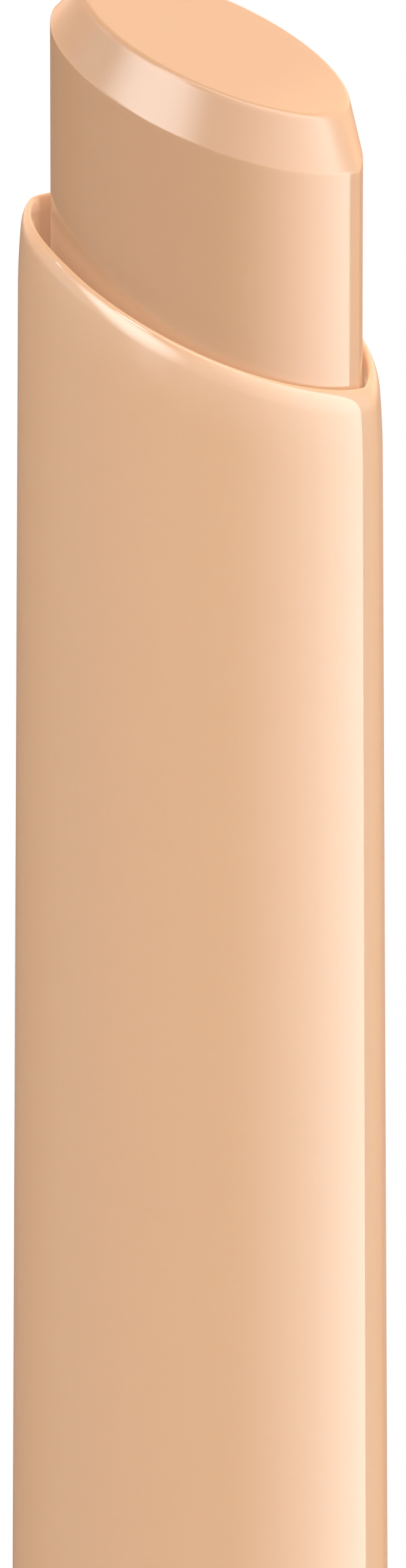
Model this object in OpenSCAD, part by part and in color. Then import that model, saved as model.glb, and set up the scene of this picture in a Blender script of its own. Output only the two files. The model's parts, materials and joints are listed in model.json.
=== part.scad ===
// Twist-up concealer stick: a bevelled lens-shaped bullet in a one-piece body with a slanted mouth.
// Millimetres. The origin is the centre of the base, +Z is up and +X is the low end of the slant.
// Every outline is a lens of two equal arcs with softly rounded tips, offset in or out.

/* [Bullet] */
// Radius of the two arcs of the bullet's section
bullet_arc_radius = 6.78; // [6.4:0.02:7.4]
// Distance of each arc's centre from the middle of the section, which sets how flat the lens is
arc_centre_offset = 1.5; // [0.8:0.1:2.4]
// Radius that rounds the bullet's two tips, seen from above
bullet_tip_radius = 0.6; // [0.3:0.1:1.2]
// Distance from the body's axis to the bullet's centre, towards the low end
bullet_shift = 0.29; // [0:0.01:0.29]
// Slope of the bullet's cut top
bullet_slant = 21.5; // [12:0.5:26]
// Height of the bevel's lower edge above the mouth, on the axis
bullet_exposed = 7.95; // [5:0.05:12]
// Height of the bevel between the side and the top face
bevel_height = 2.1; // [1:0.1:3]
// Inset of the top face's long sides from the bullet's sides
bevel_inset = 0.8; // [0.4:0.1:1.4]
// Radius that rounds the top face's two ends, seen from above
top_tip_radius = 3.6; // [2:0.1:4.4]
// Shift of the top face towards the low end
top_shift = 0.35; // [0:0.05:0.5]
// Radius of the edge around the top face
top_edge_radius = 0.16; // [0.08:0.02:0.3]

/* [Body] */
// Height of the mouth on the axis, above the base
mouth_height = 69.65; // [66:0.05:76]
// Slope of the mouth
mouth_slant = 25.2; // [15:0.2:28]
// Distance from the axis at which the mouth starts to bend down towards its high end
mouth_bend_start = 3; // [1:0.5:6]
// Radius of that bend, seen from the side
mouth_bend_radius = 13; // [10:0.5:40]
// Gap between the bullet and the body's channel
channel_gap = 0.4; // [0.36:0.02:0.6]
// Wall of the body at the mouth
lip_wall = 0.63; // [0.5:0.01:1]
// Height over which the lip rounds over on the outside
lip_rise = 0.95; // [0.5:0.05:1.4]
// Distance of the lip's crest from the channel
lip_lead_width = 0.2; // [0.05:0.01:0.3]
// Height over which the lip rounds over on the inside
lip_lead_rise = 0.6; // [0.2:0.05:1]
// Draft of the outer wall, which widens towards the base
wall_draft = 0.41; // [0:0.01:0.8]
// Chamfer on both sides of the seam between body and knob
seam_chamfer = 0.15; // [0.05:0.05:0.3]
// Gap of the seam between body and knob
seam_gap = 0.3; // [0.2:0.05:0.6]

/* [Knob] */
// Height of the twist knob
knob_height = 12; // [10:0.5:13]
// Radius of the knob's bottom edge
knob_edge_radius = 0.6; // [0.3:0.1:1]
// Wall of the knob
knob_wall = 1.3; // [1:0.1:1.5]
// Floor of the knob
knob_floor = 1.8; // [1.2:0.1:2.2]
// Wall of the socket in the knob that holds the sleeve
socket_wall = 1.1; // [0.8:0.1:1.5]

/* [Screw drive] */
// Travel of the bullet below the position shown
travel_down = 12.5; // [10:0.5:12.5]
// Travel of the bullet above the position shown
travel_up = 13; // [10:0.5:13]
// Diameter of the carrier's threaded stem over its thread
stem_diameter = 5.2; // [4.4:0.1:5.4]
// Radial clearance between the stem and the nut
nut_clearance = 0.06; // [0.03:0.01:0.1]
// Length of the nut at the sleeve's top
nut_length = 4; // [3:0.5:5]
// Radial clearance between the stem and the sleeve below the nut
sleeve_clearance = 0.6; // [0.4:0.1:0.7]
// Wall of the drive sleeve
sleeve_wall = 1.5; // [1.4:0.1:1.6]
// Radial clearance between the sleeve and its bushing
bushing_clearance = 0.06; // [0.03:0.01:0.1]
// Axial play of the sleeve in its bushing
axial_play = 0.15; // [0.1:0.05:0.3]
// Width of the sleeve's collar beyond the bushing's bore
collar_width = 0.55; // [0.4:0.05:0.6]
// Thickness of the sleeve's collar
collar_thickness = 1.2; // [0.8:0.1:1.6]
// Height of the snap bead above the sleeve's surface
bead_height = 0.25; // [0.15:0.05:0.35]
// Thickness of the snap bead
bead_thickness = 0.8; // [0.5:0.1:1]
// Length of the bushing
bushing_length = 10; // [7:0.5:12]
// Clearance of the bushing and of the sleeve's end in their seats
seat_clearance = 0.03; // [0.02:0.01:0.05]
// Thickness of the friction ring's section
ring_thickness = 0.74; // [0.6:0.02:0.8]
// Width of the two drive keys between sleeve and knob
key_width = 1.4; // [1:0.1:2]
// Height of the drive keys above the sleeve's surface
key_height = 0.5; // [0.3:0.1:0.7]
// Length of the drive keys
key_length = 6; // [4:0.5:8]

/* [Carrier] */
// Clearance between the carrier's cup and the channel
carrier_clearance = 0.13; // [0.1:0.01:0.2]
// Outer height of the carrier's cup
cup_height = 5.5; // [4:0.5:7]
// Floor of the carrier's cup
cup_floor = 1.2; // [0.8:0.1:1.6]
// How far the bullet's foot is smaller than the bullet, which leaves the cup its wall
foot_inset = 0.7; // [0.5:0.05:0.9]

/* [Hidden] */
$fn = 96;
arc_steps = 50;
tip_steps = 8;
lip_steps = 7;
edge_steps = 4;
foot_clearance = 0.02;
ring_clearance = 0.02;
groove_play = 0.1;
// room left at both ends of the carrier's travel
end_clearance = 0.5;
// room left between the stem and the knob's floor
floor_clearance = 1.2;
// how far a cutting solid runs past the face it cuts
over = 1;

seam_z = knob_height + seam_gap;
channel_radius = bullet_arc_radius + channel_gap;
lip_offset = channel_gap + lip_wall;

// the sleeve, from the stem outwards
nut_radius = stem_diameter / 2 + nut_clearance;
sleeve_bore = stem_diameter / 2 + sleeve_clearance;
sleeve_radius = sleeve_bore + sleeve_wall;
bushing_bore = sleeve_radius + bushing_clearance;
socket_radius = sleeve_radius + seat_clearance;
groove_radius = bushing_bore - ring_clearance - ring_thickness;

// heights of the drive, from the seam upwards
collar_z = seam_z + axial_play;
bushing_z = collar_z + collar_thickness + axial_play;
bushing_top = bushing_z + bushing_length;
bead_z = bushing_top + axial_play;
groove_z = bushing_z + bushing_length / 2;

// the carrier stands so that it clears the sleeve when it is down and stays in the nut when it is up
stem_end = knob_floor + floor_clearance + travel_down;
nut_z = stem_end + travel_up + end_clearance;
sleeve_top = nut_z + nut_length;
cup_z = sleeve_top + travel_down + end_clearance;
cup_rim = cup_z + cup_height;
bevel_z = mouth_height + bullet_exposed;

// the bevel and the edge above it
bevel_tilt = atan(bevel_inset / bevel_height);
top_arc_radius = bullet_arc_radius - bevel_inset;

// Angle from the chord to the end of an arc of radius r that a tip of radius t closes
function tip_angle(r, t) = asin(arc_centre_offset / (r - t));

// Distance from the middle of the section to the centre of the tip's rounding
function tip_centre(r, t) = sqrt(pow(r - t, 2) - pow(arc_centre_offset, 2));

// Points of an arc, without its last one
function arc(cx, cy, r, from, to, steps) =
    [for (i = [0:steps - 1]) let (a = from + (to - from) * i / steps) [cx + r * cos(a), cy + r * sin(a)]];

// Rounded lens of arc radius r and tip radius t: front arc, low tip, back arc, high tip
function lens(r, t) = let (a = tip_angle(r, t), c = tip_centre(r, t)) concat(
    arc(0, arc_centre_offset, r, 180 + a, 360 - a, arc_steps),
    arc(c, 0, t, -a, a, tip_steps),
    arc(0, -arc_centre_offset, r, a, 180 - a, arc_steps),
    arc(-c, 0, t, 180 - a, 180 + a, tip_steps));

// The bullet's outline, and the outward direction at each of its points
outline = lens(bullet_arc_radius, bullet_tip_radius);
normals = lens(bullet_arc_radius + 1, bullet_tip_radius + 1) - outline;

// The bullet's outline grown by s
function grown(s) = outline + s * normals;

// Distance from the middle of a rounded lens to its edge in the direction a
function lens_reach(r, t, a) = let (c = tip_centre(r, t), y = abs(sin(a)), x = abs(cos(a)))
    y * c * r <= x * arc_centre_offset * t
        ? c * x + sqrt(t * t - c * c * y * y)
        : sqrt(r * r - pow(arc_centre_offset * x, 2)) - arc_centre_offset * y;

// Outline of the top face grown by s, with its points in the same directions as those of the bullet's outline
function top_face(s) = [for (p = outline) let (a = atan2(p[1], p[0]))
    (lens_reach(top_arc_radius, top_tip_radius, a) + s) * [cos(a), sin(a)]];

// Offset of the body's outer wall from the bullet's outline at height z
function wall_offset(z) = lip_offset + tan(wall_draft) * (mouth_height - z);

// Height of the mouth at x: a slope that bends down towards its high end
function mouth_z(x) = mouth_height - tan(mouth_slant) * x
    - pow(max(0, -x - mouth_bend_start), 2) / (2 * mouth_bend_radius);

// A level ring of points at height z
function level(points, z) = [for (p = points) [p[0], p[1], z]];

// A ring of points that lies up above the plane of the bevel's lower edge
function slanted(points, up) = [for (p = points) [p[0], p[1], bevel_z - tan(bullet_slant) * p[0] + up]];

function moved(points, dx) = [for (p = points) [p[0] + dx, p[1]]];

// Quads between ring j and ring k of n points each
function band(j, k, n) = [for (i = [0:n - 1]) [j * n + i, k * n + i, k * n + (i + 1) % n, j * n + (i + 1) % n]];

// Middle of the box round some points
function middle(points) = [for (c = [0:2]) let (v = [for (p = points) p[c]]) (max(v) + min(v)) / 2];

// Solid between rings that run from its bottom to its top, closed by a fan at each end
module stack(rings) {
    n = len(rings[0]);
    last = len(rings) - 1;
    bottom = n * len(rings);
    polyhedron(
        points = concat([for (r = rings) for (p = r) p], [middle(rings[0]), middle(rings[last])]),
        faces = concat(
            [for (j = [0:last - 1]) for (f = band(j, j + 1, n)) f],
            [for (i = [0:n - 1]) [bottom, i, (i + 1) % n]],
            [for (i = [0:n - 1]) [bottom + 1, last * n + (i + 1) % n, last * n + i]]),
        convexity = 4);
}

// Tube whose wall runs through all the rings and back to the first one
module loop_of(rings) {
    n = len(rings[0]);
    m = len(rings);
    polyhedron(
        points = [for (r = rings) for (p = r) p],
        faces = [for (j = [0:m - 1]) for (f = band(j, (j + 1) % m, n)) f],
        convexity = 6);
}

// Straight lens prism of two true arcs
module lens_prism(r, h) {
    intersection() {
        translate([0, arc_centre_offset, 0]) cylinder(h = h, r = r);
        translate([0, -arc_centre_offset, 0]) cylinder(h = h, r = r);
    }
}

// Ring below the mouth: point i of the outline is grown by s[i], and all lie drop below the lip's crest
function mouth_ring(s, drop) = [for (i = [0:len(outline) - 1]) let (p = outline[i] + s[i] * normals[i])
    [p[0], p[1], mouth_z(p[0]) - drop]];

// How far the outer wall stands out where it meets the lip, for each point of the outline
lip_foot = [for (p = grown(lip_offset)) wall_offset(mouth_z(p[0]) - lip_rise)];

// Outer side of the lip at the angle a, from upright at 0 to level at 90
function lip_outside(a) = let (crest = channel_gap + lip_lead_width)
    mouth_ring([for (foot = lip_foot) crest + (foot - crest) * cos(a)], lip_rise * (1 - sin(a)));

// Inner side of the lip at the angle a
function lip_inside(a) = mouth_ring(
    [for (foot = lip_foot) channel_gap + lip_lead_width * (1 - cos(a))], lip_lead_rise * (1 - sin(a)));

// One-piece body: drafted lens outside, straight channel inside, slanted mouth with a rounded lip
module body_shell() {
    color([0.93, 0.76, 0.61])
        loop_of(concat(
            [level(grown(wall_offset(seam_z) - seam_chamfer), seam_z)],
            [level(grown(wall_offset(seam_z + seam_chamfer)), seam_z + seam_chamfer)],
            [for (i = [0:lip_steps]) lip_outside(90 * i / lip_steps)],
            [for (i = [edge_steps - 1:-1:0]) lip_inside(90 * i / edge_steps)],
            [level(grown(channel_gap), seam_z)]));
}

// Plug in the lower end of the channel: the sleeve turns in its bore
module guide_bushing() {
    color([0.9, 0.9, 0.88])
        translate([0, 0, bushing_z])
            difference() {
                lens_prism(channel_radius - seat_clearance, bushing_length);
                translate([0, 0, -over]) cylinder(h = bushing_length + 2 * over, r = bushing_bore);
            }
}

// Two keys on the sleeve, or the slots for them when grown by the clearance g
module drive_keys(g = 0) {
    for (side = [0, 180])
        rotate([0, 0, side])
            translate([sleeve_bore + sleeve_wall / 2, -key_width / 2 - g, knob_floor])
                cube([sleeve_wall / 2 + key_height + g, key_width + 2 * g, key_length + g]);
}

// Knob that continues the body's outline, with a socket pressed onto the sleeve's end
module twist_knob() {
    boss_radius = socket_radius + socket_wall;
    pocket_radius = bullet_arc_radius + wall_offset(knob_height) - knob_wall;
    pocket_depth = knob_height - knob_floor + over;
    color([0.93, 0.76, 0.61])
        difference() {
            stack(concat(
                [for (i = [0:edge_steps]) let (a = 90 * i / edge_steps, z = knob_edge_radius * (1 - cos(a)))
                    level(grown(wall_offset(z) - knob_edge_radius * (1 - sin(a))), z)],
                [level(grown(wall_offset(knob_height - seam_chamfer)), knob_height - seam_chamfer)],
                [level(grown(wall_offset(knob_height) - seam_chamfer), knob_height)]));
            translate([0, 0, knob_floor])
                difference() {
                    lens_prism(pocket_radius, pocket_depth);
                    translate([0, 0, -over]) cylinder(h = pocket_depth + 2 * over, r = boss_radius);
                }
            translate([0, 0, knob_floor]) cylinder(h = pocket_depth, r = socket_radius);
            drive_keys(seat_clearance);
        }
}

// Tube that turns with the knob: nut at the top, snap bead and collar on both sides of the bushing
module drive_sleeve() {
    groove_width = ring_thickness + 2 * groove_play;
    color([0.86, 0.87, 0.88])
        difference() {
            union() {
                translate([0, 0, knob_floor]) cylinder(h = sleeve_top - knob_floor, r = sleeve_radius);
                translate([0, 0, collar_z]) cylinder(h = collar_thickness, r = bushing_bore + collar_width);
                translate([0, 0, bead_z]) cylinder(h = bead_thickness, r = sleeve_radius + bead_height);
                drive_keys();
            }
            translate([0, 0, knob_floor - over]) cylinder(h = nut_z - knob_floor + over, r = sleeve_bore);
            translate([0, 0, nut_z - over]) cylinder(h = nut_length + 2 * over, r = nut_radius);
            translate([0, 0, groove_z - groove_width / 2])
                difference() {
                    cylinder(h = groove_width, r = sleeve_radius + over);
                    translate([0, 0, -over])
                        cylinder(h = groove_width + 2 * over, r = groove_radius - ring_clearance);
                }
        }
}

// Silicone ring in the sleeve's groove that gives the twist its drag
module friction_ring() {
    color([0.25, 0.25, 0.27])
        translate([0, 0, groove_z])
            rotate_extrude()
                translate([groove_radius + ring_thickness / 2, 0]) circle(d = ring_thickness);
}

// Cup that slides in the channel, in one piece with its threaded stem
module bullet_carrier() {
    color([0.96, 0.95, 0.92]) {
        difference() {
            union() {
                translate([0, 0, cup_z]) lens_prism(channel_radius - carrier_clearance, cup_height);
                translate([0, 0, stem_end]) cylinder(h = cup_z - stem_end + cup_floor / 2, d = stem_diameter);
            }
            translate([bullet_shift, 0, cup_z + cup_floor])
                lens_prism(bullet_arc_radius - foot_inset, cup_height);
        }
    }
}

// Bullet: foot in the cup, lens-shaped side, slanted bevel and oval top face
module concealer_bullet() {
    foot = lens(bullet_arc_radius - foot_inset - foot_clearance, bullet_tip_radius);
    color([0.87, 0.7, 0.54])
        translate([bullet_shift, 0, 0])
            stack(concat(
                [level(foot, cup_z + cup_floor)],
                [level(foot, cup_rim)],
                [level(outline, cup_rim)],
                [slanted(outline, 0)],
                [for (i = [0:edge_steps]) let (a = bevel_tilt + (90 - bevel_tilt) * i / edge_steps)
                    slanted(moved(top_face(-top_edge_radius * (1 - cos(a))), top_shift),
                        bevel_height - top_edge_radius * (1 - sin(a)))]));
}

body_shell();
guide_bushing();
twist_knob();
drive_sleeve();
friction_ring();
bullet_carrier();
concealer_bullet();
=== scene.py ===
"""Looks of a twist-up concealer stick. Sizes are in millimetres until a mesh or a lamp is made."""

import json
import math

import bpy
import numpy as np
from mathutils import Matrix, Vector

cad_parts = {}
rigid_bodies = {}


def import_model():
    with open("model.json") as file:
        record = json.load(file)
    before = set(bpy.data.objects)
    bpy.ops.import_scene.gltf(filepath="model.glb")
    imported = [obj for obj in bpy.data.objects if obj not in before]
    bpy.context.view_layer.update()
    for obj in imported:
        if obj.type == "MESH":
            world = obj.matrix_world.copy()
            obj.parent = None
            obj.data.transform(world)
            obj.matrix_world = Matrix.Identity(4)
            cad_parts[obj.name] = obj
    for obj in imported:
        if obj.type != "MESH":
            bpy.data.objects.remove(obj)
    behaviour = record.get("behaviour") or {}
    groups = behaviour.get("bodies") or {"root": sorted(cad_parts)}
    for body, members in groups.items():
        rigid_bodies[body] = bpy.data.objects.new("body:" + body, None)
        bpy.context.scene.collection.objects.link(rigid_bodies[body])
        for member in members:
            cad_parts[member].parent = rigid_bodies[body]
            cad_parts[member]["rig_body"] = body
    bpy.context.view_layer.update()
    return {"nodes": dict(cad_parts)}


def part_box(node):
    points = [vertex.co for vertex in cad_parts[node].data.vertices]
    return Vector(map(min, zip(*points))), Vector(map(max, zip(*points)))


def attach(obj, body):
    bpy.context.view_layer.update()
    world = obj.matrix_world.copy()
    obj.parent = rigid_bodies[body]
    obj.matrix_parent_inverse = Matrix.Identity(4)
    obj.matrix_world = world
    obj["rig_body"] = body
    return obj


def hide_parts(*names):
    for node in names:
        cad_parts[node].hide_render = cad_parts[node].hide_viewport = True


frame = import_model()

MM = 0.001
TINY = 1e-6

# section of the bullet: two arcs and rounded tips
ARC_RADIUS = 6.78
ARC_OFFSET = 1.5
TIP_RADIUS = 0.6
ARC_STEPS = 150
TIP_STEPS = 16

# bullet
BULLET_SHIFT = 0.29
BULLET_SLOPE = math.tan(math.radians(21.5))
BEVEL_HEIGHT = 2.1
BEVEL_INSET = 0.8
BEVEL_Z = 77.6
TOP_TIP_RADIUS = 3.6
TOP_SHIFT = 0.35
TOP_EDGE = 0.2
TOP_BORDER = 1.0
BEVEL_EDGE = 0.07
EDGE_STEPS = 6
FOOT_INSET = 0.72

# body, whose wall tapers slightly below the lip
MOUTH_Z = 69.65
MOUTH_SLOPE = math.tan(math.radians(25.2))
MOUTH_BEND_START = 3.0
MOUTH_BEND_RADIUS = 13.0
CHANNEL_GAP = 0.4
LIP_WALL = 0.63
LIP_OFFSET = CHANNEL_GAP + LIP_WALL
LIP_RISE = 0.95
LIP_TAPER = 0.1
LIP_TAPER_RISE = 3.2
LIP_TAPER_STEPS = 12
LIP_TAPER_END = math.radians(14)
LIP_LEAD_WIDTH = 0.2
LIP_LEAD_RISE = 0.6
LIP_STEPS = 28
LEAD_STEPS = 16
WALL_DRAFT = math.tan(math.radians(0.41))
SEAM_CHAMFER = 0.15

# knob
KNOB_EDGE_RADIUS = 0.6
KNOB_EDGE_STEPS = 12
KNOB_WALL = 1.3
KNOB_FLOOR = 1.8
SOCKET_RADIUS = 4.73
BOSS_RADIUS = 5.83
KEY_SLOT_WIDTH = 1.46
KEY_SLOT_DEPTH = 0.53
KEY_SLOT_TOP = 7.83

# carrier and its screw thread, whose steps are for one turn
STEM_RADIUS = 2.6
STEM_TIP = 0.4
THREAD_LEAD = 3.0
THREAD_DEPTH = 0.42
THREAD_SLOPE = 1.6
THREAD_RUNOUT = 1.0
THREAD_STEPS = 24
CUP_CLEARANCE = 0.13
CUP_FLOOR = 1.2
CAVITY_CLEARANCE = 0.02

# ridge in the nut
NUT_RADIUS = 2.66
NUT_LENGTH = 4.0
NUT_THREAD_PLAY = 0.07
RIDGE_TURNS = 1.2
RIDGE_STEPS = 96
RIDGE_HALF_ROOT = 0.62
RIDGE_HALF_CREST = 0.2
RIDGE_SINK = 0.02

# finishes, with places and reaches on the piece in millimetres
PEACH = (0.6, 0.38, 0.229)
CREAM = (0.5, 0.3, 0.173)
SCATTER = (1.0, 0.85, 0.75)
SCATTER_SCALE = 0.5
DRIFT_SCALE = 120.0
DRIFT_DETAIL = 3.0
GRAIN_DETAIL = 2.0
GRAIN_RANGE = (0.3, 0.7)
SATIN_BLEND = 0.05
SATIN_ROUGHNESS = 0.24
# painted light: the bullet's colour grows paler towards its low end, standing in for the stronger light on
# that side
PAINTED_LIGHT_START = 2.5
PAINTED_LIGHT_END = 6.5
PAINTED_LIGHT_GAIN = 1.16
# painted light: a glow in narrow gaps that stands in for the light bouncing there
GAP_REACH = 1.2
GAP_LIGHT = 0.25
GAP_OPEN = 0.5
GAP_SAMPLES = 8
PAINTED_GAP_LIGHT_COLOUR = (0.7, 0.47, 0.31, 1)

# camera
LENS = 400
SENSOR = 36
CLIP = (0.01, 10)
CAMERA_TURN = math.radians(25)
CAMERA_RISE = math.radians(17.27)
CAMERA_DISTANCE = 692.6
TARGET_OFFSET = 0.13
TARGET_Z = 49.0

# what the gloss mirrors, with turns in degrees to the right of the camera's side and rises above level
DEGREES = 180 / math.pi
PANEL_TURN = (2.0, 104.0)
PANEL_EDGE = 95.0
PANEL_STRENGTH = 6.2
BEYOND_END = 160.0
BEYOND_STRENGTH = (0.9, 0.1)
HIGH_RISE = (-14.5, 0.0)
OVERHEAD_RISE = (30.0, 50.0)
HIGH_STRENGTH = (1.7, 0.4)
ROOM_TURN = (-150.0, -100.0)
ROOM_STRENGTH = (0.45, 0.6)
GLOW_TURN = -37.0
GLOW_RISE = 24.0
GLOW_SPREAD = 36.0
GLOW_STRENGTH = 8.5
CARD_TURN = (88.0, 125.0)
CARD_COLOUR = (1.0, 0.62, 0.44)

# what lights the surfaces
DOME = 0.93
DOME_RISE = (0.0, 45.0)
DOME_SHARE = (1.02, 1.3)
DOME_TILT = 0.38
DOME_TILT_TURN = 70.0
LAMP_DISTANCE = 0.6

# floor, in metres
FLOOR_HALF = 0.7
FLOOR_COLOUR = (0.82, 0.82, 0.82, 1)
FLOOR_ROUGHNESS = 0.9
SHADOW_REACH = (0.012, 0.045)
SHADOW_WHITE = 0.35

# margin of the support rings beside a wide band
SUPPORT_MARGIN = 0.04


def arc(cx, cy, radius, start, end, steps):
    """Points of an arc, without its last one."""
    angles = np.linspace(start, end, steps, endpoint=False)
    return np.column_stack([cx + radius * np.cos(angles), cy + radius * np.sin(angles)])


def tip_centre(radius, tip):
    """Distance from the axis to the centre of a rounded tip."""
    return math.sqrt((radius - tip) ** 2 - ARC_OFFSET**2)


def lens(radius, tip):
    """Rounded lens outline: front arc, low tip, back arc, high tip."""
    angle = math.asin(ARC_OFFSET / (radius - tip))
    centre = tip_centre(radius, tip)
    half = math.pi
    return np.vstack(
        [
            arc(0, ARC_OFFSET, radius, half + angle, 2 * half - angle, ARC_STEPS),
            arc(centre, 0, tip, -angle, angle, TIP_STEPS),
            arc(0, -ARC_OFFSET, radius, angle, half - angle, ARC_STEPS),
            arc(-centre, 0, tip, half - angle, half + angle, TIP_STEPS),
        ]
    )


OUTLINE = lens(ARC_RADIUS, TIP_RADIUS)
NORMALS = lens(ARC_RADIUS + 1, TIP_RADIUS + 1) - OUTLINE
POLAR = np.arctan2(OUTLINE[:, 1], OUTLINE[:, 0])


def grown(offset):
    """The bullet's outline grown by an offset, one for all points or one for each."""
    return OUTLINE + np.reshape(offset, (-1, 1)) * NORMALS


def around(reach):
    """Points at the given distance from the axis, in the directions of the outline's points."""
    return np.column_stack([reach * np.cos(POLAR), reach * np.sin(POLAR)])


def prism_reach(radius):
    """Distance from the axis to a lens of two full arcs, in the outline's directions."""
    along, across = np.abs(np.cos(POLAR)), np.abs(np.sin(POLAR))
    return np.sqrt(radius**2 - (ARC_OFFSET * along) ** 2) - ARC_OFFSET * across


def top_reach():
    """Distance from the middle of the top face to its edge, in the outline's directions."""
    radius = ARC_RADIUS - BEVEL_INSET
    centre = tip_centre(radius, TOP_TIP_RADIUS)
    along, across = np.abs(np.cos(POLAR)), np.abs(np.sin(POLAR))
    on_tip = across * centre * radius <= along * ARC_OFFSET * TOP_TIP_RADIUS
    tip = centre * along + np.sqrt(np.maximum(TOP_TIP_RADIUS**2 - (centre * across) ** 2, 0))
    return np.where(on_tip, tip, prism_reach(radius))


def level(points, z):
    """A level ring."""
    return np.column_stack([points, np.full(len(points), z)])


def slanted(points, up):
    """A ring that lies up above the plane of the bevel's lower edge."""
    return np.column_stack([points, BEVEL_Z - BULLET_SLOPE * points[:, 0] + up])


def mouth_height(x):
    """Height of the mouth's slope, which bends down towards its high end."""
    return MOUTH_Z - MOUTH_SLOPE * x - np.maximum(0, -x - MOUTH_BEND_START) ** 2 / (2 * MOUTH_BEND_RADIUS)


def mouth_ring(offset, drop):
    """A ring that lies drop below the lip's crest."""
    points = grown(offset)
    return np.column_stack([points, mouth_height(points[:, 0]) - drop])


def wall_offset(z):
    """How far the outer wall lies outside the bullet's outline."""
    return LIP_OFFSET + WALL_DRAFT * (MOUTH_Z - z)


def unit(vectors):
    """The vectors at a length of one."""
    return vectors / np.linalg.norm(vectors, axis=1, keepdims=True)


def rounded(before, edge, after, reach):
    """Rings that round off the edge ring, starting at reach before it and ending at reach after it."""
    start = edge + reach * unit(before - edge)
    end = edge + reach * unit(after - edge)
    shares = np.linspace(0, 1, EDGE_STEPS + 1)
    return [(1 - t) ** 2 * start + 2 * t * (1 - t) * edge + t**2 * end for t in shares]


def braced(rings):
    """The rings, with support rings at both sides of each wide band, so that it shades evenly."""
    made = [rings[0]]
    for low, high in zip(rings, rings[1:]):
        step = high - low
        width = np.linalg.norm(step, axis=1, keepdims=True)
        if width.min() > 4 * SUPPORT_MARGIN:
            margin = SUPPORT_MARGIN * step / width
            made += [low + margin, high - margin]
        made.append(high)
    return made


def faces_between(count, rings, loop):
    """Quads between neighbouring rings of count points each."""
    quads = []
    for j in range(rings if loop else rings - 1):
        a = j * count
        b = (j + 1) % rings * count
        quads += [(a + i, a + (i + 1) % count, b + (i + 1) % count, b + i) for i in range(count)]
    return quads


def solid(name, rings, loop=False, sharp=30):
    """Object whose skin runs through the rings. A loop returns to its first ring, and others get caps."""
    count = len(rings[0])
    faces = faces_between(count, len(rings), loop)
    if not loop:
        last = (len(rings) - 1) * count
        faces += [tuple(reversed(range(count))), tuple(range(last, last + count))]
    mesh = bpy.data.meshes.new(name)
    mesh.from_pydata((np.vstack(rings) * MM).tolist(), [], faces)
    return shaded(name, mesh, sharp)


def shaded(name, mesh, sharp):
    """Object of a mesh that shades smoothly, apart from edges that turn by more than sharp degrees."""
    mesh.validate()
    mesh.shade_smooth()
    mesh.set_sharp_from_angle(angle=math.radians(sharp))
    made = bpy.data.objects.new(name, mesh)
    bpy.context.scene.collection.objects.link(made)
    return made


def body_skin():
    """Drafted wall, slight taper that runs into the rounded lip, straight channel."""
    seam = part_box("body_shell")[0].z / MM
    crest = CHANNEL_GAP + LIP_LEAD_WIDTH
    rim = mouth_height(grown(LIP_OFFSET)[:, 0])
    end_drop = LIP_RISE * (1 - math.sin(LIP_TAPER_END))
    taper = []
    for share in np.linspace(0, 1, LIP_TAPER_STEPS, endpoint=False):
        drop = LIP_TAPER_RISE + (end_drop - LIP_TAPER_RISE) * share
        taper.append(mouth_ring(wall_offset(rim - drop) - LIP_TAPER * share**2, drop))
    width = (wall_offset(rim - end_drop) - LIP_TAPER - crest) / math.cos(LIP_TAPER_END)
    lip = []
    for angle in np.linspace(LIP_TAPER_END, math.pi / 2, LIP_STEPS + 1):
        lip.append(mouth_ring(crest + width * math.cos(angle), LIP_RISE * (1 - math.sin(angle))))
    inner = []
    for angle in np.linspace(math.pi / 2, 0, LEAD_STEPS + 1)[1:]:
        offset = CHANNEL_GAP + LIP_LEAD_WIDTH * (1 - math.cos(angle))
        inner.append(mouth_ring(offset, LIP_LEAD_RISE * (1 - math.sin(angle))))
    rings = [
        level(grown(wall_offset(seam) - SEAM_CHAMFER), seam),
        level(grown(wall_offset(seam + SEAM_CHAMFER)), seam + SEAM_CHAMFER),
        *taper,
        *lip,
        *inner,
        level(grown(CHANNEL_GAP), seam),
    ]
    return solid("body_skin", braced(rings + rings[:1])[:-1], loop=True)


def bullet_skin():
    """Foot in the cup, lens side, slanted bevel, oval top face."""
    foot_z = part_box("concealer_bullet")[0].z / MM
    rim_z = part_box("bullet_carrier")[1].z / MM
    foot = lens(ARC_RADIUS - FOOT_INSET, TIP_RADIUS)
    reach = top_reach()
    shift = np.array([TOP_SHIFT, 0])
    side = level(OUTLINE, rim_z)
    lower = slanted(OUTLINE, 0)
    upper = slanted(around(reach) + shift, BEVEL_HEIGHT)
    within = slanted(around(reach - TOP_BORDER) + shift, BEVEL_HEIGHT)
    rings = [
        level(foot, foot_z),
        level(foot, rim_z),
        side,
        *rounded(side, lower, upper, BEVEL_EDGE),
        *rounded(lower, upper, within, TOP_EDGE),
        within,
    ]
    return solid("bullet_skin", [ring + [BULLET_SHIFT, 0, 0] for ring in braced(rings)], sharp=60)


def slotted_reach():
    """Distance from the axis to the wall of the socket with its two key slots."""
    along, across = np.maximum(np.abs([np.cos(POLAR), np.sin(POLAR)]), TINY)
    end = (SOCKET_RADIUS + KEY_SLOT_DEPTH) / along
    return np.maximum(np.minimum(end, KEY_SLOT_WIDTH / 2 / across), SOCKET_RADIUS)


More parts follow.
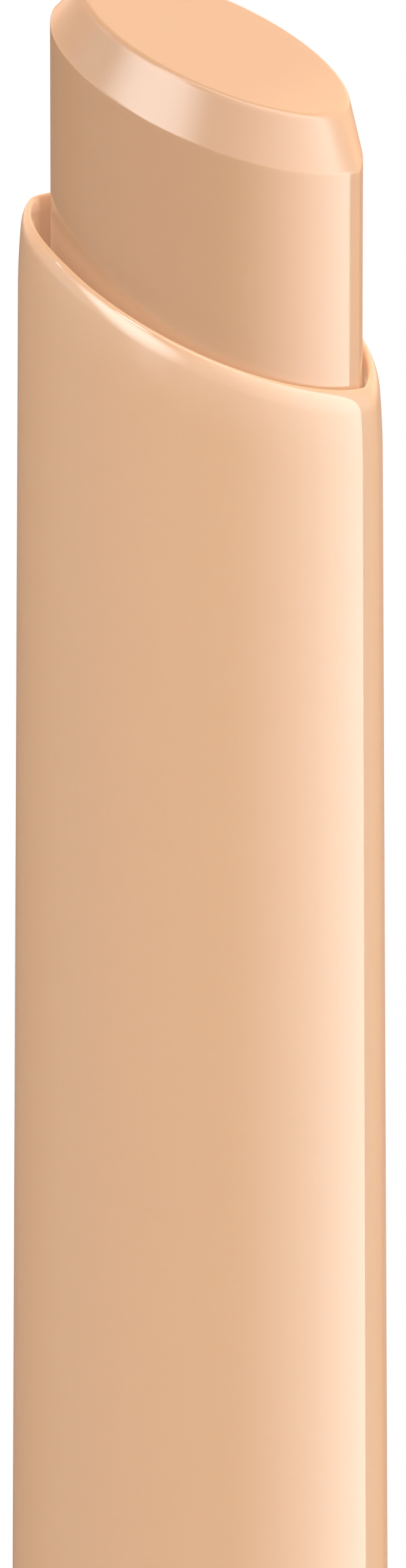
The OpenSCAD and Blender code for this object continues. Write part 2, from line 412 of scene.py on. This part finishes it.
def knob_skin():
    """Knob that continues the body's outline, with a slotted socket between two pockets."""
    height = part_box("twist_knob")[1].z / MM
    edge = []
    for angle in np.linspace(0, math.pi / 2, KNOB_EDGE_STEPS + 1):
        z = KNOB_EDGE_RADIUS * (1 - math.cos(angle))
        edge.append(level(grown(wall_offset(z) - KNOB_EDGE_RADIUS * (1 - math.sin(angle))), z))
    pocket = np.maximum(prism_reach(ARC_RADIUS + wall_offset(height) - KNOB_WALL), BOSS_RADIUS)
    rings = [
        *edge,
        level(grown(wall_offset(height - SEAM_CHAMFER)), height - SEAM_CHAMFER),
        level(grown(wall_offset(height) - SEAM_CHAMFER), height),
        level(around(pocket), height),
        level(around(pocket), KNOB_FLOOR),
        level(around(BOSS_RADIUS), KNOB_FLOOR),
        level(around(BOSS_RADIUS), height),
        level(around(SOCKET_RADIUS), height),
        level(around(SOCKET_RADIUS), KEY_SLOT_TOP),
        level(around(slotted_reach()), KEY_SLOT_TOP),
        level(around(slotted_reach()), KNOB_FLOOR),
    ]
    return solid("knob_skin", braced(rings))


def thread_height(angle, z):
    """Height of the left-handed thread above its root, with a flat crest and a flat root."""
    phase = angle / (2 * math.pi) + z / THREAD_LEAD
    wave = np.cos(2 * math.pi * phase) / 2
    return THREAD_DEPTH * np.clip(0.5 + THREAD_SLOPE * wave, 0, 1)


def carrier_skin():
    """Cup with its screw stem. The thread runs out before the cup and before the stem's end."""
    low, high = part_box("bullet_carrier")
    stem_end, rim = low.z / MM, high.z / MM
    floor_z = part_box("concealer_bullet")[0].z / MM
    cup_z = floor_z - CUP_FLOOR
    tip_z = stem_end + STEM_TIP
    root = STEM_RADIUS - THREAD_DEPTH
    rings = [level(around(root - STEM_TIP), stem_end)]
    turns = (cup_z - tip_z) / THREAD_LEAD
    for z in np.linspace(tip_z, cup_z, int(turns * THREAD_STEPS) + 1):
        fade = np.clip(min(z - tip_z, cup_z - z) / THREAD_RUNOUT, 0, 1)
        rings.append(level(around(root + fade * thread_height(POLAR, z)), z))
    cup = prism_reach(ARC_RADIUS + CHANNEL_GAP - CUP_CLEARANCE)
    cavity = prism_reach(ARC_RADIUS - FOOT_INSET + CAVITY_CLEARANCE)
    shift = np.array([BULLET_SHIFT, 0])
    rings += [
        level(around(cup), cup_z),
        level(around(cup), rim),
        level(around(cavity) + shift, rim),
        level(around(cavity) + shift, floor_z),
    ]
    return solid("carrier_with_thread", rings, sharp=40)


def nut_thread():
    """Ridge inside the nut that runs in the stem's thread."""
    nut_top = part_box("drive_sleeve")[1].z / MM
    middle = nut_top - NUT_LENGTH / 2
    root = NUT_RADIUS + RIDGE_SINK
    crest = STEM_RADIUS - THREAD_DEPTH + NUT_THREAD_PLAY
    profile = [
        (root, -RIDGE_HALF_ROOT),
        (crest, -RIDGE_HALF_CREST),
        (crest, RIDGE_HALF_CREST),
        (root, RIDGE_HALF_ROOT),
    ]
    rings = []
    for angle in np.linspace(0, RIDGE_TURNS * 2 * math.pi, int(RIDGE_TURNS * RIDGE_STEPS) + 1):
        z = middle + THREAD_LEAD * (RIDGE_TURNS / 2 - angle / (2 * math.pi))
        section = [(r * math.cos(angle), r * math.sin(angle), z + dz) for r, dz in profile]
        rings.append(np.array(section))
    return solid("nut_thread", rings)


def add(tree, kind, inputs=(), **settings):
    """A node with its settings and inputs. An input is a value or another node's output."""
    made = tree.nodes.new(kind)
    for name, value in settings.items():
        setattr(made, name, value)
    for key, value in dict(inputs).items():
        if isinstance(value, bpy.types.NodeSocket):
            tree.links.new(value, made.inputs[key])
        else:
            made.inputs[key].default_value = value
    return made


def calc(tree, operation, *values):
    """Output of a math node."""
    return add(tree, "ShaderNodeMath", dict(enumerate(values)), operation=operation).outputs[0]


def mixed(tree, factor, first, second):
    """Value between the first and the second."""
    return add(tree, "ShaderNodeMix", {0: factor, 2: first, 3: second}).outputs[0]


def remap(tree, value, low, high, to_low=0.0, to_high=1.0):
    """Value that goes smoothly from to_low at low to to_high at high."""
    inputs = {"Value": value, "From Min": low, "From Max": high, "To Min": to_low, "To Max": to_high}
    return add(tree, "ShaderNodeMapRange", inputs, interpolation_type="SMOOTHSTEP").outputs[0]


def cosine(tree, direction, towards):
    """Cosine of the angle between two directions."""
    inputs = {0: direction, 1: towards}
    return add(tree, "ShaderNodeVectorMath", inputs, operation="DOT_PRODUCT").outputs["Value"]


def place_on_piece(tree):
    """Place on the piece, in metres."""
    return add(tree, "ShaderNodeTexCoord").outputs["Object"]


def noise(tree, scale, detail):
    """Noise at a scale in bumps per metre."""
    inputs = {"Vector": place_on_piece(tree), "Scale": scale, "Detail": detail}
    return add(tree, "ShaderNodeTexNoise", inputs).outputs["Fac"]


def tint(tree, factor, first, second):
    """Colour between the first and the second."""
    inputs = {0: factor, 6: (*first, 1), 7: (*second, 1)}
    return add(tree, "ShaderNodeMix", inputs, data_type="RGBA").outputs[2]


def material(name, colour, rough, grain, spread, bump=0.0):
    """Moulded or cast surface: slow drift of colour, and fine grain.

    rough is the roughness from and to, grain its scale in bumps per metre, spread the share by which the
    colour drifts and bump the grain's height in metres."""
    made = bpy.data.materials.new(name)
    made.use_nodes = True
    tree = made.node_tree
    shader = tree.nodes["Principled BSDF"]
    drift = noise(tree, DRIFT_SCALE, DRIFT_DETAIL)
    fine = noise(tree, grain, GRAIN_DETAIL)
    pale = tuple(c * (1 + spread) for c in colour)
    deep = tuple(c * (1 - spread) for c in colour)
    tree.links.new(tint(tree, drift, deep, pale), shader.inputs["Base Color"])
    tree.links.new(remap(tree, fine, *GRAIN_RANGE, *rough), shader.inputs["Roughness"])
    if bump:
        lift = add(tree, "ShaderNodeBump", {"Height": fine, "Distance": bump, "Strength": 1.0})
        tree.links.new(lift.outputs[0], shader.inputs["Normal"])
    return made


def translucent(chosen):
    """Lets light scatter a little below the surface."""
    shader = chosen.node_tree.nodes["Principled BSDF"]
    shader.inputs["Subsurface Weight"].default_value = 1.0
    shader.inputs["Subsurface Radius"].default_value = SCATTER
    shader.inputs["Subsurface Scale"].default_value = SCATTER_SCALE * MM


def lit_gaps(chosen):
    """Paints the light that bounces about in narrow gaps, where the wall and the bullet light each other,
    as a glow of the surface where ambient occlusion finds near walls.
    """
    tree = chosen.node_tree
    shader = tree.nodes["Principled BSDF"]
    near = add(tree, "ShaderNodeAmbientOcclusion", {"Distance": GAP_REACH * MM}, samples=GAP_SAMPLES)
    # painted light: the surface glows where near walls hem it in
    shader.inputs["Emission Color"].default_value = PAINTED_GAP_LIGHT_COLOUR
    light = remap(tree, near.outputs["AO"], GAP_OPEN, 1.0, GAP_LIGHT, 0.0)
    tree.links.new(light, shader.inputs["Emission Strength"])


def painted_light_low_end(chosen):
    """Paints light onto the cast colour: it grows paler towards the low end, where the light from the
    right falls more strongly.
    """
    tree = chosen.node_tree
    base = tree.nodes["Principled BSDF"].inputs["Base Color"]
    x = add(tree, "ShaderNodeSeparateXYZ", {0: place_on_piece(tree)}).outputs["X"]
    # painted light, paler towards the low end
    gain = remap(tree, x, PAINTED_LIGHT_START * MM, PAINTED_LIGHT_END * MM, 1.0, PAINTED_LIGHT_GAIN)
    inputs = {0: base.links[0].from_socket, "Scale": gain}
    lightened = add(tree, "ShaderNodeVectorMath", inputs, operation="SCALE")
    tree.links.new(lightened.outputs[0], base)


def satin_cut(chosen):
    """Makes the bullet's bevel and top face less glossy than its side."""
    tree = chosen.node_tree
    shader = tree.nodes["Principled BSDF"]
    x, _, z = add(tree, "ShaderNodeSeparateXYZ", {0: place_on_piece(tree)}).outputs
    above = calc(tree, "MULTIPLY_ADD", x, BULLET_SLOPE, z)
    edge = (BEVEL_Z + BULLET_SLOPE * BULLET_SHIFT) * MM
    share = remap(tree, above, edge - SATIN_BLEND * MM, edge + SATIN_BLEND * MM)
    side = shader.inputs["Roughness"].links[0].from_socket
    tree.links.new(mixed(tree, share, side, SATIN_ROUGHNESS), shader.inputs["Roughness"])


def finish_with(piece, chosen):
    """Gives a piece its one material."""
    piece.data.materials.clear()
    piece.data.materials.append(chosen)


def facing(turn, rise):
    """Direction at a turn to the right of the camera's side and a rise above level, in degrees."""
    angle = CAMERA_TURN + math.radians(turn)
    up = math.radians(rise)
    return Vector((math.sin(angle) * math.cos(up), -math.cos(angle) * math.cos(up), math.sin(up)))


def mirrored_room(tree, direction, turn, rise):
    """Strength of what the gloss mirrors."""
    # panel on the right that brightens up to its sharp far edge, and the paler room beyond it
    panel = remap(tree, turn, *PANEL_TURN, 0.0, PANEL_STRENGTH)
    panel = calc(tree, "MULTIPLY", panel, calc(tree, "LESS_THAN", turn, PANEL_EDGE))
    beyond = remap(tree, turn, PANEL_EDGE, BEYOND_END, *BEYOND_STRENGTH)
    beyond = calc(tree, "MULTIPLY", beyond, calc(tree, "GREATER_THAN", turn, PANEL_EDGE))

    # the room is brighter above level and dimmer again overhead and behind on the left
    overhead = remap(tree, rise, *OVERHEAD_RISE, *HIGH_STRENGTH)
    high = calc(tree, "MULTIPLY", remap(tree, rise, *HIGH_RISE), overhead)
    room = remap(tree, turn, *ROOM_TURN, *ROOM_STRENGTH)
    seen = calc(tree, "ADD", calc(tree, "ADD", panel, beyond), calc(tree, "ADD", high, room))

    # soft round light in front
    close = cosine(tree, direction, facing(GLOW_TURN, GLOW_RISE))
    glow = remap(tree, close, math.cos(math.radians(GLOW_SPREAD)), 1.0, 0.0, GLOW_STRENGTH)
    return calc(tree, "ADD", seen, glow)


def world_light():
    """Soft studio: an even dome for the light, and soft panels for what the gloss mirrors."""
    world = bpy.data.worlds.new("studio")
    bpy.context.scene.world = world
    world.use_nodes = True
    tree = world.node_tree
    tree.nodes.clear()
    direction = add(tree, "ShaderNodeTexCoord").outputs["Generated"]
    x, y, z = add(tree, "ShaderNodeSeparateXYZ", {0: direction}).outputs
    rays = add(tree, "ShaderNodeLightPath").outputs

    # turn in degrees to the right of the side that the photograph shows, from -180 to 180
    turn = calc(tree, "MULTIPLY", calc(tree, "ARCTAN2", y, x), DEGREES)
    turn = calc(tree, "ADD", turn, 90 - math.degrees(CAMERA_TURN))
    past_back = calc(tree, "GREATER_THAN", turn, 180.0)
    turn = calc(tree, "SUBTRACT", turn, calc(tree, "MULTIPLY", past_back, 360.0))
    rise = calc(tree, "MULTIPLY", calc(tree, "ARCSINE", z), DEGREES)

    # warm cards stand behind the object
    behind = remap(tree, calc(tree, "ABSOLUTE", turn), *CARD_TURN)
    card = tint(tree, calc(tree, "MULTIPLY", behind, rays["Is Glossy Ray"]), (1, 1, 1), CARD_COLOUR)

    # the dome is brighter on the right and overhead
    sideways = cosine(tree, direction, facing(DOME_TILT_TURN, 0))
    dome = calc(tree, "MULTIPLY", remap(tree, rise, *DOME_RISE, *DOME_SHARE), DOME)
    dome = calc(tree, "MULTIPLY_ADD", sideways, DOME_TILT, dome)

    strength = mixed(tree, rays["Is Glossy Ray"], dome, mirrored_room(tree, direction, turn, rise))
    strength = mixed(tree, rays["Is Camera Ray"], strength, 1.0)
    shader = add(tree, "ShaderNodeBackground", {"Color": card, "Strength": strength})
    output = tree.nodes.new("ShaderNodeOutputWorld")
    tree.links.new(shader.outputs[0], output.inputs[0])


def softbox(name, turn, rise, wide, high, light, glint=False):
    """Lamp that lights what faces it at the given level, where 1 shows white as white.

    It is wide by high metres large. A glint lamp shows in the gloss alone, and the others don't show
    in it."""
    data = bpy.data.lights.new(name, "AREA")
    data.shape = "RECTANGLE"
    data.size, data.size_y = wide, high
    data.energy = light * (math.pi * LAMP_DISTANCE) ** 2
    made = bpy.data.objects.new(name, data)
    bpy.context.scene.collection.objects.link(made)
    towards = facing(turn, rise)
    made.location = Vector((0, 0, MOUTH_Z * MM)) + towards * LAMP_DISTANCE
    made.rotation_mode = "QUATERNION"
    made.rotation_quaternion = towards.to_track_quat("Z", "Y")
    made.visible_camera = False
    made.visible_glossy = glint
    made.visible_diffuse = not glint


def floor():
    """Pale floor that shows white away from the object and keeps the object's shadow."""
    half = FLOOR_HALF
    corners = [(-half, -half, 0), (half, -half, 0), (half, half, 0), (-half, half, 0)]
    mesh = bpy.data.meshes.new("floor")
    mesh.from_pydata(corners, [], [(0, 1, 2, 3)])
    made = bpy.data.objects.new("floor", mesh)
    bpy.context.scene.collection.objects.link(made)
    made.visible_glossy = False
    chosen = bpy.data.materials.new("floor")
    chosen.use_nodes = True
    tree = chosen.node_tree
    matt = tree.nodes["Principled BSDF"]
    matt.inputs["Base Color"].default_value = FLOOR_COLOUR
    matt.inputs["Roughness"].default_value = FLOOR_ROUGHNESS
    shine = add(tree, "ShaderNodeEmission", {"Strength": 1.0})
    rays = add(tree, "ShaderNodeLightPath").outputs
    place = place_on_piece(tree)
    away = add(tree, "ShaderNodeVectorMath", {0: place}, operation="LENGTH").outputs["Value"]
    share = remap(tree, away, *SHADOW_REACH, SHADOW_WHITE, 1.0)
    white = calc(tree, "MULTIPLY", rays["Is Camera Ray"], share)
    blend = add(tree, "ShaderNodeMixShader", {0: white, 1: matt.outputs[0], 2: shine.outputs[0]})
    tree.links.new(blend.outputs[0], tree.nodes["Material Output"].inputs[0])
    mesh.materials.append(chosen)


def camera():
    """The photograph's camera."""
    turn, rise = CAMERA_TURN, CAMERA_RISE
    target = Vector((TARGET_OFFSET * math.cos(turn), TARGET_OFFSET * math.sin(turn), TARGET_Z))
    back = Vector((math.sin(turn) * math.cos(rise), -math.cos(turn) * math.cos(rise), math.sin(rise)))
    data = bpy.data.cameras.new("camera")
    data.lens = LENS
    data.sensor_width = SENSOR
    data.clip_start, data.clip_end = CLIP
    made = bpy.data.objects.new("camera", data)
    bpy.context.scene.collection.objects.link(made)
    made.location = (target + back * CAMERA_DISTANCE) * MM
    made.rotation_mode = "QUATERNION"
    made.rotation_quaternion = (-back).to_track_quat("-Z", "Y")
    bpy.context.scene.camera = made


camera()
world_light()
softbox("key", 12, 50, 0.3, 0.2, 0.3)
softbox("left_key", -60, 60, 0.3, 0.2, 0.05)
softbox("front_glint", -16, 56, 0.15, 0.1, 0.22, glint=True)
softbox("side_glint", -91, 33, 0.06, 0.04, 0.03, glint=True)
floor()

gloss = material("peach_gloss", PEACH, (0.03, 0.05), 900.0, spread=0.01)
cream = material("cast_cream", CREAM, (0.06, 0.09), 1500.0, spread=0.015)
for chosen in (gloss, cream):
    translucent(chosen)
    lit_gaps(chosen)
satin_cut(cream)
painted_light_low_end(cream)
natural = material("natural_moulding", (0.86, 0.84, 0.78), (0.35, 0.5), 1800.0, spread=0.02, bump=2e-6)
pale_grey = material("grey_moulding", (0.72, 0.72, 0.7), (0.3, 0.45), 1800.0, spread=0.02, bump=2e-6)
warm_grey = material("bushing_moulding", (0.78, 0.77, 0.73), (0.3, 0.45), 1800.0, spread=0.02, bump=2e-6)
silicone = material("silicone", (0.022, 0.022, 0.025), (0.35, 0.5), 2500.0, spread=0.1, bump=3e-6)

for build, node, slot, chosen in (
    (body_skin, "body_shell", "body", gloss),
    (bullet_skin, "concealer_bullet", "bullet", cream),
    (knob_skin, "twist_knob", "knob", gloss),
    (carrier_skin, "bullet_carrier", "carrier", natural),
):
    piece = build()
    finish_with(piece, chosen)
    body = frame["nodes"][node]["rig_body"]
    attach(piece, body)
    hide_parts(node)

ridge = nut_thread()
finish_with(ridge, pale_grey)
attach(ridge, "knob")

for node, slot, chosen in (
    ("guide_bushing", "bushing", warm_grey),
    ("drive_sleeve", "sleeve", pale_grey),
    ("friction_ring", "ring", silicone),
):
    finish_with(frame["nodes"][node], chosen)

bpy.context.scene.view_settings.view_transform = "Standard"
